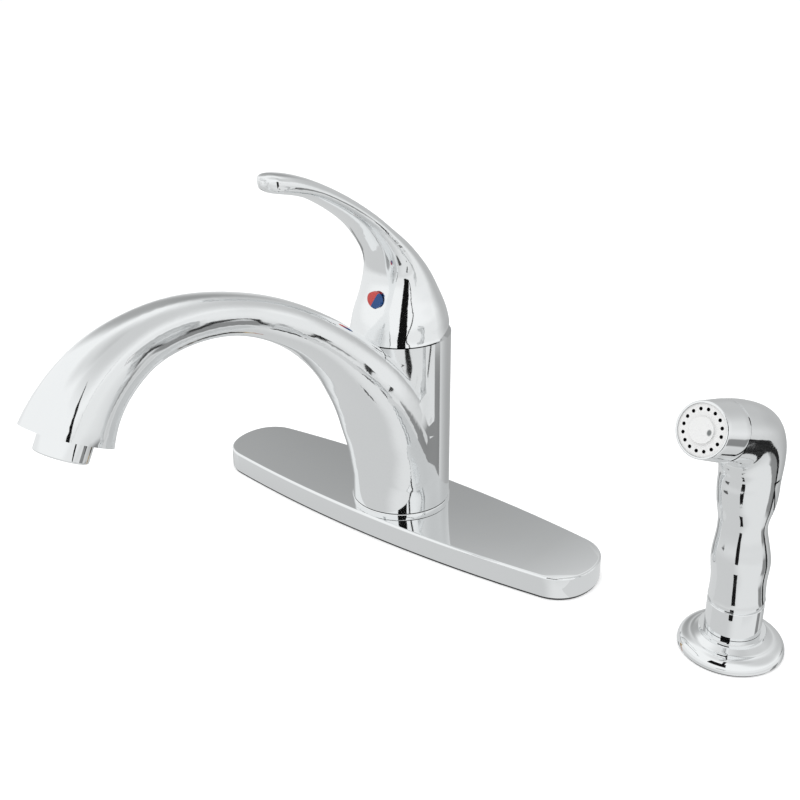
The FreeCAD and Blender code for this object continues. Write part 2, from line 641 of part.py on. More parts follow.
def aerator():
    housing = turned("aerator_shell", [
        ("aerator_bore", "-aerator_seat"), ("outlet_bore - fit_gap", "-aerator_seat"),
        ("outlet_bore - fit_gap", "0"), ("aerator_radius", "0"),
        ("aerator_radius", "aerator_drop"), ("aerator_bore - 0.8", "aerator_drop"),
        ("aerator_bore - 0.8", "aerator_drop - 1"), ("aerator_bore", "aerator_drop - 1")],
        [("aerator_radius", "aerator_drop")], "0.8")
    node("aerator_housing", at_outlet(housing, "0"))
    blank = rod("insert_blank", "aerator_bore - fit_gap", "0", "insert_height")
    holes = [rod("insert_hole_0", "screen_hole", "-1", "insert_height + 1")]
    count = int(size("screen_holes"))
    for step in range(count):
        angle = 2 * math.pi * step / count
        holes.append(rod(f"insert_hole_{step + 1}", "screen_hole", "-1", "insert_height + 1",
                         f"{math.cos(angle):.5f} * aerator_bore * 0.62",
                         f"{math.sin(angle):.5f} * aerator_bore * 0.62"))
    insert = cut("insert", blank, *holes)
    node("aerator_insert", at_outlet(insert, "aerator_drop - 1 - insert_height"))
    seal = cut("aerator_seal_ring", rod("seal_out", "outlet_bore - fit_gap", "-2", "0"),
               rod("seal_in", "waterway + 1", "-3", "1"))
    node("aerator_washer", at_outlet(seal, "-aerator_seat"))


# Lever handle: one shell from a round skirt to a thin paddle, scooped under the lever.
LEVER_WIDTH = ((0, 27.2), (0.07, 25.2), (0.15, 21.6), (0.3, 16.4), (0.42, 14.2), (0.54, 12.4),
               (0.7, 10.9), (0.85, 9.4), (0.94, 7.8), (0.977, 6.3), (0.99, 4.6), (1, 1.2))
LEVER_DEPTH = ((0, 27.2), (0.07, 24.2), (0.15, 19.4), (0.3, 9.6), (0.42, 6.2), (0.54, 5.0),
               (0.7, 4.5), (0.85, 4.2), (0.94, 3.7), (0.977, 3.1), (0.99, 2.3), (1, 0.6))


def lever_curves():
    base = side_point(0, size("skirt_low"))
    bend = side_point(size("bend_reach"), size("bend_height"))
    tip = side_point(size("lever_reach"), size("lever_height"))
    along = slope(size("bend_slope"))
    return [
        (base, base + FreeCAD.Vector(0, 0, size("lever_rise")),
         bend - along * size("bend_back"), bend),
        (bend, bend + along * size("bend_front"),
         tip - slope(size("lever_slope")) * size("lever_end"), tip)]


def lever_handle():
    stations = path_at(lever_curves(), even(21)[:-1] + [0.977, 0.99, 0.997, 1])
    wires = [section(centre, along, smooth(LEVER_WIDTH, share), smooth(LEVER_DEPTH, share), 2.1)
             for share, centre, along in stations]
    blank = lofted("lever_blank", wires)
    scoop_roll = rod("lever_scoop_roll", "scoop_radius", "0", "1")
    bind(scoop_roll, "Height", "4 * skirt_radius")
    turn(scoop_roll, (0, 1, 0), "90")
    place(scoop_roll, "-2 * skirt_radius", "-scoop_reach", "scoop_height")
    above = slab("lever_scoop_top", "4 * skirt_radius", "4 * scoop_radius", "2 * scoop_radius",
                 z="scoop_floor")
    scoop = common("lever_scoop", scoop_roll, above)
    cavity = cone("lever_cavity", "cavity_low", "cavity_high", "skirt_low - 0.5", "cavity_top")
    socket = slab("lever_socket", "stem_side + 2 * fit_gap", "stem_side + 2 * fit_gap",
                  "stem_top + fit_gap - cavity_top + 1", z="cavity_top - 1")
    relief = slab("lever_relief", "4 * skirt_radius", "2 * skirt_radius", "skirt_radius",
                  y="skirt_radius")
    bind(relief, "Placement.Base.y", "0")
    turn(relief, (1, 0, 0), "lever_tilt + 0.5")
    bind(relief, "Placement.Base.y", "skirt_radius * sin(lever_tilt + 0.5)")
    bind(relief, "Placement.Base.z", "skirt_low + 0.35 - skirt_radius * cos(lever_tilt + 0.5)")
    pocket = forward_rod("lever_index_pocket", "index_radius + fit_gap", "index_face - index_depth",
                         "index_face + 20")
    bore = forward_rod("lever_screw_bore", "screw_radius + fit_gap", "0", "index_face")
    node("lever_handle", cut("lever", blank, scoop, cavity, socket, relief, pocket, bore))


def forward_rod(name, radius, near, far):
    """A rod towards the user at the index's height, between two reaches."""
    item = rod(name, radius, "0", "1")
    bind(item, "Height", f"({far}) - ({near})")
    turn(item, (1, 0, 0), "90")
    place(item, "0", f"-({near})", "index_height")
    return item


def handle_fittings():
    node("index_button", forward_rod("button", "index_radius", "index_face - index_depth",
                                     "index_face"))
    screw = forward_rod("screw_body", "screw_radius", "stem_side / 2 + fit_gap",
                        "stem_side / 2 + fit_gap + screw_length")
    hexa = hexagon("screw_hex", "screw_radius", "0", "1")
    bind(hexa, "Height", "3")
    turn(hexa, (1, 0, 0), "90")
    place(hexa, "0", "-(stem_side / 2 + fit_gap + screw_length - 2)", "index_height")
    node("handle_screw", cut("screw", screw, hexa))


# Sprayer holder: chrome flange on a pad, with a threaded guide through the deck.
def spray_holder():
    pad = turned("pad", [("guide_radius + running_gap", "0"), ("flange_radius - 0.6", "0"),
                         ("flange_radius - 0.6", "pad_thick"),
                         ("guide_radius + running_gap", "pad_thick")])
    place(pad, "spray_x")
    node("spray_pad", pad)
    shell = turned("flange_shell", [
        ("guide_radius + fit_gap", "pad_thick"), ("flange_radius", "pad_thick"),
        ("flange_radius", "flange_height"), ("collar_radius + 3", "flange_height"),
        ("collar_radius", "flange_height + 1.8"), ("collar_radius", "collar_top"),
        ("guide_radius + fit_gap", "collar_top")],
        [("flange_radius", "flange_height")], "flange_edge")
    place(shell, "spray_x")
    node("spray_flange", shell)
    guide = turned("guide_tube", [
        ("guide_bore", "-guide_length"), ("guide_radius", "-guide_length"),
        ("guide_radius", "collar_top"), ("collar_radius", "collar_top"),
        ("collar_radius", "collar_top + 1"), ("guide_bore", "collar_top + 1")])
    place(guide, "spray_x")
    node("spray_guide", guide)
    low = "-deck_thick - washer_thick"
    washer("guide_washer", "guide_radius + running_gap", "guide_washer", low, "-deck_thick",
           "spray_x")
    nut("guide_nut", "guide_radius + fit_gap", "guide_nut_flats", f"{low} - guide_nut_height",
        low, "spray_x")


# Wand: built round its own axis, with the nozzle to -Y, then turned a little and set in place.
GUIDE_TOP = "collar_top + 1"


def set_wand(item):
    bind(item, "Placement.Base.x", "spray_x")
    turn(item, (0, 0, 1), "spray_turn")
    return item


def wand_frame():
    return FreeCAD.Placement(FreeCAD.Vector(size("spray_x"), 0, 0),
                             FreeCAD.Rotation(FreeCAD.Vector(0, 0, 1), size("spray_turn")))


def wand_connector():
    profile = [
        ("hose_radius - 1.6", "-plug_length - hose_nipple"),
        ("hose_radius", "-plug_length - hose_nipple"), ("hose_radius", "-plug_length"),
        ("hose_flange", "-plug_length"), ("hose_flange", "-3 - running_gap"),
        ("wand_bore - fit_gap", "-3 - running_gap"), ("wand_bore - fit_gap", "coupling_top - 6"),
        ("hose_radius - 1.6", "coupling_top - 6")]
    item = turned("connector", profile)
    place(item, "spray_x")
    node("hose_connector", item)
    washer("coupling_washer", "wand_bore + fit_gap", "hose_flange", "-3 - running_gap", "-3",
           "spray_x")


def wand_coupling():
    node("wand_coupling", set_wand(turned("coupling", [
        ("wand_bore", "-3"), ("guide_bore - running_gap", "-3"),
        ("guide_bore - running_gap", f"{GUIDE_TOP} + running_gap"),
        ("coupling_radius", f"{GUIDE_TOP} + running_gap"), ("coupling_radius", "coupling_top"),
        ("wand_bore", "coupling_top")], [("coupling_radius", "coupling_top")], "0.5")))


def wand_curves():
    base = side_point(0, size("grip_low"))
    seam = side_point(size("head_reach"), size("head_height"))
    along = slope(size("head_slope"))
    return [(base, base + FreeCAD.Vector(0, 0, size("grip_rise")),
             seam - along * size("head_bend"), seam)]


# Half widths and half depths along the grip, and how far each section leans to the user.
GRIP_WIDTH = ((0, 13.1), (0.138, 13.0), (0.269, 12.1), (0.365, 11.6), (0.45, 12.3),
              (0.538, 13.2), (0.69, 13.7), (0.83, 13.8), (1, 13.55))
GRIP_DEPTH = ((0, 13.1), (0.138, 13.8), (0.269, 12.4), (0.375, 11.0), (0.45, 14.0),
              (0.538, 15.2), (0.616, 15.8), (0.69, 16.9), (0.745, 16.3), (0.83, 14.6),
              (1, 13.55))
GRIP_LEAN = ((0, 0), (0.138, 0.6), (0.269, 2.4), (0.365, 3.6), (0.45, 2.4), (0.538, 2.3),
             (0.616, 0.8), (0.745, 0), (1, 0))


def finger_wave(height):
    """How far the grip swells at a height: it thins upwards past each finger's place."""
    turns = (height - size("finger_start")) / size("finger_pitch")
    fade = max(0.0, min(1.0, (size("block_top") - height) / size("finger_start")))
    return -size("finger_depth") * fade * math.sin(2 * math.pi * turns)


def grip_loft(name):
    wires = []
    for share, centre, along in path_at(wand_curves(), even(25)):
        lean = side_point(smooth(GRIP_LEAN, share), 0)
        wave = finger_wave(centre.z)
        wires.append(section(centre + lean, along, smooth(GRIP_WIDTH, share) + wave,
                             smooth(GRIP_DEPTH, share) + wave, 2.1))
    return lofted(name, wires)


def wand_handle():
    blank = grip_loft("grip_blank")
    neck = rod("grip_neck", "seam_radius", "coupling_top", "grip_low + 1")
    water = rod("grip_water", "wand_bore", "coupling_top - 1", "trigger_low - 8")
    inlet = rod("grip_inlet", "nozzle_water - 0.5", "trigger_low - 9", "plunger_height",
                y="-inlet_reach")
    upper = rod("grip_upper_water", "nozzle_water - 0.5", "plunger_height - 1", "head_height - 9",
                y="nozzle_water + 0.2 - valve_depth")
    nozzle_water = at_seam(rod("grip_nozzle_water", "nozzle_water", "-water_reach", "1"),
                           "-water_reach")
    slot = cut("grip_slot", common(
        "grip_slot_band", behind_wings("grip_slot_back", "-wing_reach", "trigger_top + 1", "0"),
        slab("grip_slot_height", "6 * head_radius", "6 * head_radius",
             "trigger_top - trigger_low + 2", z="trigger_low - 1")),
        slab("grip_core", "2 * core_half", "4 * head_radius", "4 * head_radius",
             y="trigger_face - 2 * head_radius", z="trigger_low - head_radius"))
    room = slab("grip_room", "2 * (block_half + running_gap)", "2 * trigger_pin_reach - 7",
                "block_top + 2 - trigger_top", y="trigger_pin_reach", z="trigger_top")
    bore = back_rod("grip_valve_bore", "valve_bore", "-valve_depth", "trigger_face + 2",
                    "plunger_height")
    eye = cross_rod("grip_pin_eye", "trigger_pin", "2 * trigger_pin_half + 0.4")
    node("wand_handle", set_wand(cut("grip", fuse("grip_body", blank, neck), water, inlet, upper,
                                     nozzle_water, slot, room, bore, eye)))


def back_rod(name, radius, near, far, height):
    """A rod away from the user, along +Y in the wand's own frame."""
    item = rod(name, radius, "0", "1")
    bind(item, "Height", f"({far}) - ({near})")
    turn(item, (1, 0, 0), "-90")
    place(item, "0", near, height)
    return item


def cross_rod(name, radius, length):
    item = rod(name, radius, "0", "1")
    bind(item, "Height", length)
    turn(item, (0, 1, 0), "90")
    place(item, f"-({length}) / 2", "trigger_pin_reach", "trigger_pin_height")
    return item


def at_seam(item, out):
    """Stand an item on the head's seam in the wand's own frame, pointing out of the nozzle."""
    along = slope(size("head_slope"))
    seam = side_point(size("head_reach"), size("head_height"))
    item.setExpression("Placement.Base.x", None)
    item.setExpression("Placement.Base.y", None)
    item.setExpression("Placement.Base.z", None)
    item.Placement = FreeCAD.Placement(seam + along * sheet_value(out),
                                       FreeCAD.Rotation(FreeCAD.Vector(0, 0, 1), along))
    return item


def on_nozzle(item, out):
    """Stand an item on the head's seam where the wand hangs in its holder."""
    item.Placement = wand_frame().multiply(at_seam(item, out).Placement)
    return item


def nozzle():
    ring = turned("nozzle_shell", [
        ("face_radius + fit_gap", "0.1"), ("head_radius", "0.1"), ("head_radius", "2"),
        ("rim_radius", "nozzle_length"), ("face_radius + fit_gap", "nozzle_length")],
        [("rim_radius", "nozzle_length")], "0.5")
    node("nozzle_ring", on_nozzle(ring, "0"))
    disc = rod("face_disc", "face_radius", "0", "face_thick")
    nub = rod("face_nub", "nub_radius", "0", "face_thick + nub_height")
    holes = []
    for step in range(int(size("jets"))):
        angle = 2 * math.pi * step / size("jets")
        holes.append(rod(f"face_jet_{step + 1}", "jet_radius", "-1", "face_thick + 1",
                         f"{math.cos(angle):.5f} * jet_circle",
                         f"{math.sin(angle):.5f} * jet_circle"))
    face = cut("face", fuse("face_blank", disc, nub), *holes)
    node("spray_face", on_nozzle(face, "nozzle_length - face_thick - 0.6"))


def behind_wings(name, reach, top, swing):
    """All that lies behind a plane that leans towards the user as it climbs to a top edge."""
    angle = f"(wing_lean + {swing})"
    tall = "4 * head_radius"
    item = slab(name, "6 * head_radius", "6 * head_radius", tall)
    turn(item, (1, 0, 0), angle)
    place(item, "-3 * head_radius", f"{reach} + {tall} * sin({angle})",
          f"{top} - {tall} * cos({angle})")
    return item


def trigger():
    """A thumb lever that wraps round the grip's core, on a block that the pin goes through."""
    band = slab("trigger_band", "6 * head_radius", "6 * head_radius", "trigger_top - trigger_low",
                z="trigger_low")
    wings = behind_wings("trigger_wings", "wing_gap - wing_reach", "trigger_top + 1",
                         "trigger_swing")
    room = slab("trigger_room", "2 * (core_half + trigger_gap)", "4 * head_radius",
                "4 * head_radius")
    turn(room, (1, 0, 0), "trigger_swing")
    place(room, "-core_half - trigger_gap",
          "trigger_face + trigger_gap - 4 * head_radius * cos(trigger_swing)"
          " + 4 * head_radius * sin(trigger_swing)",
          "trigger_top + 1 - 4 * head_radius * cos(trigger_swing)"
          " - 4 * head_radius * sin(trigger_swing)")
    shell = common("trigger_shell", grip_loft("trigger_skin"), band, wings)
    block = slab("trigger_block", "2 * block_half", "2 * trigger_pin_reach - 9.2",
                 "block_top - trigger_top + 5", y="trigger_pin_reach", z="trigger_top - 5")
    eye = cross_rod("trigger_eye", "trigger_pin + fit_gap", "4 * block_half")
    node("trigger", set_wand(cut("trigger_lever", fuse("trigger_blank", shell, block), eye,
                                 room)))


def trigger_pin():
    pin = doc.addObject("Part::Cylinder", "trigger_axle")
    bind(pin, "Radius", "trigger_pin - fit_gap / 2")
    bind(pin, "Height", "2 * trigger_pin_half")
    across = FreeCAD.Placement(
        FreeCAD.Vector(-size("trigger_pin_half"), size("trigger_pin_reach"),
                       size("trigger_pin_height")),
        FreeCAD.Rotation(FreeCAD.Vector(0, 1, 0), 90))
    pin.Placement = wand_frame().multiply(across)
    node("trigger_pin", pin)


HEAD_LOW = "spring_room - valve_depth"


def spray_valve():
    """The plunger slides in its bore behind a gland, and a spring pushes it back out."""
    reach = ("trigger_face + trigger_gap - 0.1"
             " + (trigger_top - plunger_height - plunger_radius) * tan(trigger_swing)")
    stem = back_rod("plunger_stem", "plunger_radius", HEAD_LOW, reach, "plunger_height")
    head = back_rod("plunger_disc", "valve_bore - fit_gap", HEAD_LOW,
                    f"{HEAD_LOW} + plunger_head", "plunger_height")
    node("spray_plunger", set_wand(fuse("plunger", stem, head)))
    gland = cut("gland", back_rod("gland_out", "valve_bore - fit_gap",
                                  "trigger_face - gland_thick", "trigger_face",
                                  "plunger_height"),
                back_rod("gland_in", "plunger_radius + fit_gap",
                         "trigger_face - gland_thick - 1", "trigger_face + 1",
                         "plunger_height"))
    node("plunger_gland", set_wand(gland))
    node("plunger_spring", coil())


def coil():
    """The return spring, between the bore's end and the plunger's head."""
    item = doc.addObject("Part::Feature", "spring_coil")
    wire = size("spring_wire")
    length = size("spring_room") - 3 * wire
    turns = size("spring_coils")
    helix = Part.makeHelix(length / turns, length, size("spring_radius"))
    corners = [FreeCAD.Vector(size("spring_radius") + wire * math.cos(math.pi * step / 3), 0,
                              wire * math.sin(math.pi * step / 3)) for step in range(7)]
    outline = Part.makePolygon(corners)
    item.Shape = Part.Wire(helix.Edges).makePipeShell([outline], True, True)
    along = FreeCAD.Placement(
        FreeCAD.Vector(0, 1.4 * wire - size("valve_depth"), size("plunger_height")),
        FreeCAD.Rotation(FreeCAD.Vector(1, 0, 0), -90))
    item.Placement = wand_frame().multiply(along)
    return item


def build():
    deck_gasket()
    deck_plate()
    base_ring()
    valve_body()
    seal_ring("lower_seal", "seal_low")
    seal_ring("upper_seal", "seal_high")
    cartridge_shell()
    fixed_disc()
    sliding_disc()
    disc_carrier()
    pivot_pin()
    cartridge_stem()
    cartridge_nut()
    bonnet()
    diverter()
    mounting_shank()
    deck_fasteners()
    inlet_tube("hot_inlet", "-port_x")
    inlet_tube("cold_inlet", "port_x")
    spray_outlet()
    spout()
    aerator()
    lever_handle()
    handle_fittings()
    spray_holder()
    wand_connector()
    wand_coupling()
    wand_handle()
    nozzle()
    trigger()
    trigger_pin()
    spray_valve()


def write_parts():
    """Check each sub-part, then write it as parts/NAME.step."""
    doc.recompute()
    os.makedirs("parts", exist_ok=True)
    for item in nodes:
        if {"Invalid", "Error"} & set(item.State) or not item.Shape.isValid():
            raise RuntimeError(f"{item.Label} is not sound: {item.State}")
        if not item.Shape.Solids:
            raise RuntimeError(f"{item.Label} holds no solid")
        item.Shape.exportStep(f"parts/{item.Label}.step")
        box = item.Shape.BoundBox
        print(f"{item.Label}: {len(item.Shape.Solids)} solid, {item.Shape.Volume:.0f} mm3, "
              f"z {box.ZMin:.1f} to {box.ZMax:.1f}")


build()
write_parts()
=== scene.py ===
"""Studio view of the side spray kitchen faucet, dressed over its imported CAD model, in metres.

The deck plane is z = 0, the faucet stands on the origin and the sprayer at +X.
"""
import json
import math

import bmesh
import bpy
import numpy as np
from mathutils import Matrix, Vector


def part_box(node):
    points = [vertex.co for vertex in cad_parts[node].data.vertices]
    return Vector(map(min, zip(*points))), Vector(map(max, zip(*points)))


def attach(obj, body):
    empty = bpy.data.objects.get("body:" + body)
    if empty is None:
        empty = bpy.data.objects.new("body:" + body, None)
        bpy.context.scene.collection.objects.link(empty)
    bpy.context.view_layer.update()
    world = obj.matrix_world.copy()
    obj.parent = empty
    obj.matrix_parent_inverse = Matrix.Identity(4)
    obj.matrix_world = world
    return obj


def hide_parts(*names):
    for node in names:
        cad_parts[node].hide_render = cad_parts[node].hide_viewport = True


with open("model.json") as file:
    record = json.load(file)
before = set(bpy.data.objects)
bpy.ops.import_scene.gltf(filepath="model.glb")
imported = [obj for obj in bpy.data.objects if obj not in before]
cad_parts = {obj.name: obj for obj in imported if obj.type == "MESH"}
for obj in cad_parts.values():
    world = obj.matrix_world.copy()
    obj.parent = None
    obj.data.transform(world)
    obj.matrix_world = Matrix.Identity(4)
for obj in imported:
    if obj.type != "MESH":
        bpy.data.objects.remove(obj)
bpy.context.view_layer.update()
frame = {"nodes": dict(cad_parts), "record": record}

# Camera: it looks down at the faucet from the front right, and the lens gives the frame of the
# photograph, with the spout's end on the left and the sprayer on the right.
camera = bpy.data.objects.new("camera", bpy.data.cameras.new("camera"))
bpy.context.scene.collection.objects.link(camera)
bpy.context.scene.camera = camera
right = Vector((0.78318, 0.62176, -0.00570))
up = Vector((-0.25911, 0.33469, 0.90601))
ahead = Vector((-0.56523, 0.70809, -0.42322))
aim = Matrix((right, up, -ahead)).transposed().to_4x4()
camera.matrix_world = Matrix.Translation((0.37153, -0.46591, 0.35118)) @ aim
camera.data.sensor_width = 36.0
camera.data.lens = 53.25
camera.data.clip_start = 0.01
camera.data.clip_end = 50.0
bpy.context.scene.view_settings.view_transform = "Standard"


# Studio: a white world and a pale deck, lit softly from above. Polished metal is drawn by what it
# mirrors, so it sees a world painted by direction, and cards that nothing else shows give the
# plating its dark lines.
class Field:
    """A socket whose +, - and * with numbers or other fields add Math nodes to its tree."""

    def __init__(self, tree, socket):
        self.tree = tree
        self.socket = socket

    @staticmethod
    def node(tree, kind, settings, links, out=0):
        """A node of a kind, its settings made first and then its sockets, as a new field."""
        made = tree.nodes.new(kind)
        for name, value in settings.items():
            setattr(made, name, value)
        for key, value in links.items():
            socket = made.inputs[key]
            if isinstance(value, Field):
                tree.links.new(value.socket, socket)
            elif isinstance(value, tuple) and socket.type == "RGBA":
                socket.default_value = (*value, 1.0)
            else:
                socket.default_value = value
        return Field(tree, made.outputs[out])

    def math(self, operation, *values):
        return self.node(self.tree, "ShaderNodeMath", {"operation": operation},
                         dict(enumerate(values)))

    def __add__(self, other):
        return self.math("ADD", self, other)

    def __radd__(self, other):
        return self.math("ADD", other, self)

    def __sub__(self, other):
        return self.math("SUBTRACT", self, other)

    def __rsub__(self, other):
        return self.math("SUBTRACT", other, self)

    def __mul__(self, other):
        return self.math("MULTIPLY", self, other)

    def __rmul__(self, other):
        return self.math("MULTIPLY", other, self)

    def span(self, other):
        """The length of a step of this field one way and another field across it."""
        return self.math("SQRT", self * self + other * other)

    def axes(self):
        """The x, y and z of a vector field."""
        return [self.node(self.tree, "ShaderNodeSeparateXYZ", {}, {0: self}, axis)
                for axis in "XYZ"]

    def above(self, limit, blur):
        """A ramp from 0 to 1 that is centred on a limit and as wide as the blur."""
        return self.node(self.tree, "ShaderNodeMapRange", {"interpolation_type": "SMOOTHSTEP"},
                         {0: self, 1: limit - blur / 2, 2: limit + blur / 2})

    def mix(self, low, high):
        """A colour that goes from low to high as this field goes from 0 to 1."""
        return self.node(self.tree, "ShaderNodeMix", {"data_type": "RGBA"},
                         {"Factor": self, 6: low, 7: high}, out=2)

    def feed(self, shader, name):
        self.tree.links.new(self.socket, shader.inputs[name])


def studio_walls(tree):
    """What metal mirrors, by direction: pale in front, greyer below and behind, with dark gaps.

    Each smooth step runs on a part of the direction: its height, or its reach along an azimuth.
    """
    x, y, z = Field.node(tree, "ShaderNodeTexCoord", {}, {}, "Generated").axes()
    side_blur, end_blur = 0.03, 0.06
    floor_grey, wall_more, sky_more, lit_more, back_less = 0.66, 0.24, 0.1, 0.17, 0.42
    tint = (0.985, 1.0, 1.004)

    def along(azimuth):
        return x * math.sin(math.radians(azimuth)) - y * math.cos(math.radians(azimuth))

    def gap(azimuth, half_width, low, high):
        """1 in an upright dark gap about an azimuth, between two heights."""
        aside = z.math("ABSOLUTE", along(azimuth + 90))
        narrow = 1.0 - aside.above(math.sin(math.radians(half_width)), side_blur)
        tall = z.above(low, end_blur) * (1.0 - z.above(high, end_blur))
        return narrow * tall * along(azimuth).above(0.2, 0.1)

    def patch(azimuth, elevation, edge, blur):
        """1 in a soft round patch about a direction; its edge is a cosine."""
        rise = math.radians(elevation)
        near = along(azimuth) * math.cos(rise) + z * math.sin(rise)
        return near.above(edge, blur)

    floor = 1.0 - z.above(-0.4, 0.16)
    level = floor_grey + wall_more * z.above(-0.34, 0.3) + sky_more * z.above(0.05, 0.2)
    level = level + lit_more * floor * along(75).above(0.4, 0.5)
    level = level * (1.0 - back_less * along(185).above(0.78, 0.36))
    for depth, *place in ((0.58, -130, 25, 0.93, 0.14), (0.32, 125, 48, 0.84, 0.3),
                          (0.22, 0, 90, 0.93, 0.14)):
        level = level * (1.0 - depth * patch(*place))
    for depth, *place in ((0.65, 132, 8, -0.6, -0.38), (0.6, -118, 5, -0.58, -0.36)):
        level = level * (1.0 - depth * gap(*place))
    return Field.node(tree, "ShaderNodeCombineColor", {},
                      {index: level * part for index, part in enumerate(tint)})


WHITE = (1.0, 1.0, 1.0)
SOFT_FILL = (0.74, 0.745, 0.75)
world = bpy.data.worlds.new("studio")
bpy.context.scene.world = world
world.use_nodes = True
sky_tree = world.node_tree
straight, mirrored, through = (
    Field.node(sky_tree, "ShaderNodeLightPath", {}, {}, name)
    for name in ("Is Camera Ray", "Is Glossy Ray", "Is Transmission Ray"))
lit = straight.math("MAXIMUM", straight, through).mix(SOFT_FILL, WHITE)
mirrored.mix(lit, studio_walls(sky_tree)).feed(sky_tree.nodes["Background"], "Color")


def on_stage(name, data):
    item = bpy.data.objects.new(name, data)
    bpy.context.scene.collection.objects.link(item)
    return item


def flat(name, corners):
    mesh = bpy.data.meshes.new(name)
    mesh.from_pydata(corners, [], [tuple(range(len(corners)))])
    return mesh


def oblong(half_x, half_y, height=0.0):
    return [(x * half_x, y * half_y, height) for x, y in ((-1, -1), (1, -1), (1, 1), (-1, 1))]


def facing(distance, azimuth, elevation, middle=(0.06, -0.05, 0.1)):
    """A place at a distance from the middle of the object, turned to face it."""
    side, rise = math.radians(azimuth), math.radians(elevation)
    out = Vector((math.sin(side) * math.cos(rise), -math.cos(side) * math.cos(rise),
                  math.sin(rise)))
    turn = out.to_track_quat("Z", "Y").to_matrix().to_4x4()
    return Matrix.Translation(Vector(middle) + out * distance) @ turn


def painted(item, colour, glow, glow_strength, **values):
    """Paint an item with plain values, which a keyword names with _ for each space."""
    paint = bpy.data.materials.new(item.name)
    paint.use_nodes = True
    shader = paint.node_tree.nodes["Principled BSDF"]
    shader.inputs["Base Color"].default_value = (*colour, 1)
    shader.inputs["Emission Color"].default_value = (*glow, 1)
    shader.inputs["Emission Strength"].default_value = glow_strength
    for name, value in values.items():
        shader.inputs[name.replace("_", " ")].default_value = value
    item.data.materials.append(paint)


DECK_HALF = 6.0
DECK_LOW = -0.0002
deck = on_stage("deck", flat("deck", oblong(DECK_HALF, DECK_HALF, DECK_LOW)))
painted(deck, (0.86, 0.86, 0.86), WHITE, 0.36, Roughness=0.9)
deck.visible_glossy = False


def card(name, corners, grey, place=None):
    """A plain card of one grey that only polished metal shows."""
    item = on_stage(name, flat(name, corners))
    if place:
        item.matrix_world = place
    item.visible_camera = False
    item.visible_diffuse = False
    item.visible_shadow = False
    item.visible_transmission = False
    painted(item, (0, 0, 0), (grey, grey * 1.015, grey * 1.02), 1.0, Specular_IOR_Level=0.0)


def floor_card(name, start, azimuth, near, far, near_half, far_half, height, grey):
    """A wedge on the deck that runs out from x = start, between two reaches and two half widths."""
    side = math.radians(azimuth)
    out = Vector((math.sin(side), -math.cos(side), 0))
    across = Vector((-out.y, out.x, 0))
    base = Vector((start, 0, height))
    card(name, [base + out * near - across * near_half, base + out * far - across * far_half,
                base + out * far + across * far_half, base + out * near + across * near_half],
         grey)


SPRAY_X = 0.2032
BLACK = 0.006
STAND_LOW, STAND_HIGH = 0.09, 0.25
card("black_stand", [(0.126, -0.215, STAND_LOW), (0.28, -0.235, STAND_LOW),
                     (0.28, -0.235, STAND_HIGH), (0.126, -0.215, STAND_HIGH)], BLACK)
for row in (("black_finger_high", SPRAY_X, 11, 0.115, 0.23, 0.012, 0.03, 0.0, 0.01),
            ("black_finger_low", SPRAY_X, 11, 0.05, 0.064, 0.006, 0.009, 0.0, 0.01),
            ("black_hood", SPRAY_X, 139, 0.05, 0.28, 0.004, 0.018, 0.0, 0.02),
            ("dark_leaf", 0.0, 30, 0.085, 0.15, 0.012, 0.022, 0.0, 0.1),
            ("lit_floor", 0.118, 115, 0.0, 0.06, 0.03, 0.04, -0.0005, 0.7)):
    floor_card(*row)
card("black_box", oblong(0.009, 0.1), BLACK, facing(0.2, 11, 49, (0.209, -0.022, 0.005)))


def lamp(name, azimuth, elevation, power, side):
    light = bpy.data.lights.new(name, "AREA")
    light.energy = power
    light.shape = "RECTANGLE"
    light.size = side
    light.size_y = side
    item = on_stage(name, light)
    item.matrix_world = facing(1.4, azimuth, elevation)
    item.visible_camera = False
    item.visible_glossy = False


lamp("soft_top", 20, 78, 8.0, 1.2)
lamp("soft_left", -50, 40, 2.5, 0.8)


# Deck plate: a long zinc casting with rounded ends, polished and chrome plated, on a moulded black
# rubber gasket. The plating is bright and keeps a faint waviness from the polishing wheel.
def finish(name, colour, metallic, roughness, coat=0.0):
    """A material with plain values, with its tree and shader, ready for what varies."""
    made = bpy.data.materials.new(name)
    made.use_nodes = True
    shader = made.node_tree.nodes["Principled BSDF"]
    shader.inputs["Base Color"].default_value = (*colour, 1)
    shader.inputs["Metallic"].default_value = metallic
    shader.inputs["Roughness"].default_value = roughness
    shader.inputs["Coat Weight"].default_value = coat
    return made, made.node_tree, shader


def place_on(tree):
    """Where a point lies on the piece, in metres, as a vector field."""
    return Field.node(tree, "ShaderNodeTexCoord", {}, {}, "Object")


def cloud(tree, scale, detail=3.0, stretch=(1.0, 1.0, 1.0)):
    """Soft noise about 0.5, its spots 1 / scale metres wide, stretched along the axes."""
    spread = Field.node(tree, "ShaderNodeMapping", {},
                        {"Vector": place_on(tree), "Scale": stretch})
    return Field.node(tree, "ShaderNodeTexNoise", {},
                      {"Vector": spread, "Scale": scale, "Detail": detail})


def shaded(field, colour, share):
    """A colour that runs from a share of itself to itself as a field goes from 0 to 1."""
    return field.mix(tuple(min(1.0, part * share) for part in colour), colour)


def swung(field, middle, swing):
    """A value that swings about its middle as a field goes from 0 to 1."""
    return field * swing + (middle - swing / 2)


def relief(height, shader, distance):
    """Bump from a height field, feeding a shader's normal; the distance is in metres."""
    height.node(height.tree, "ShaderNodeBump", {},
                {"Height": height, "Distance": distance}).feed(shader, "Normal")


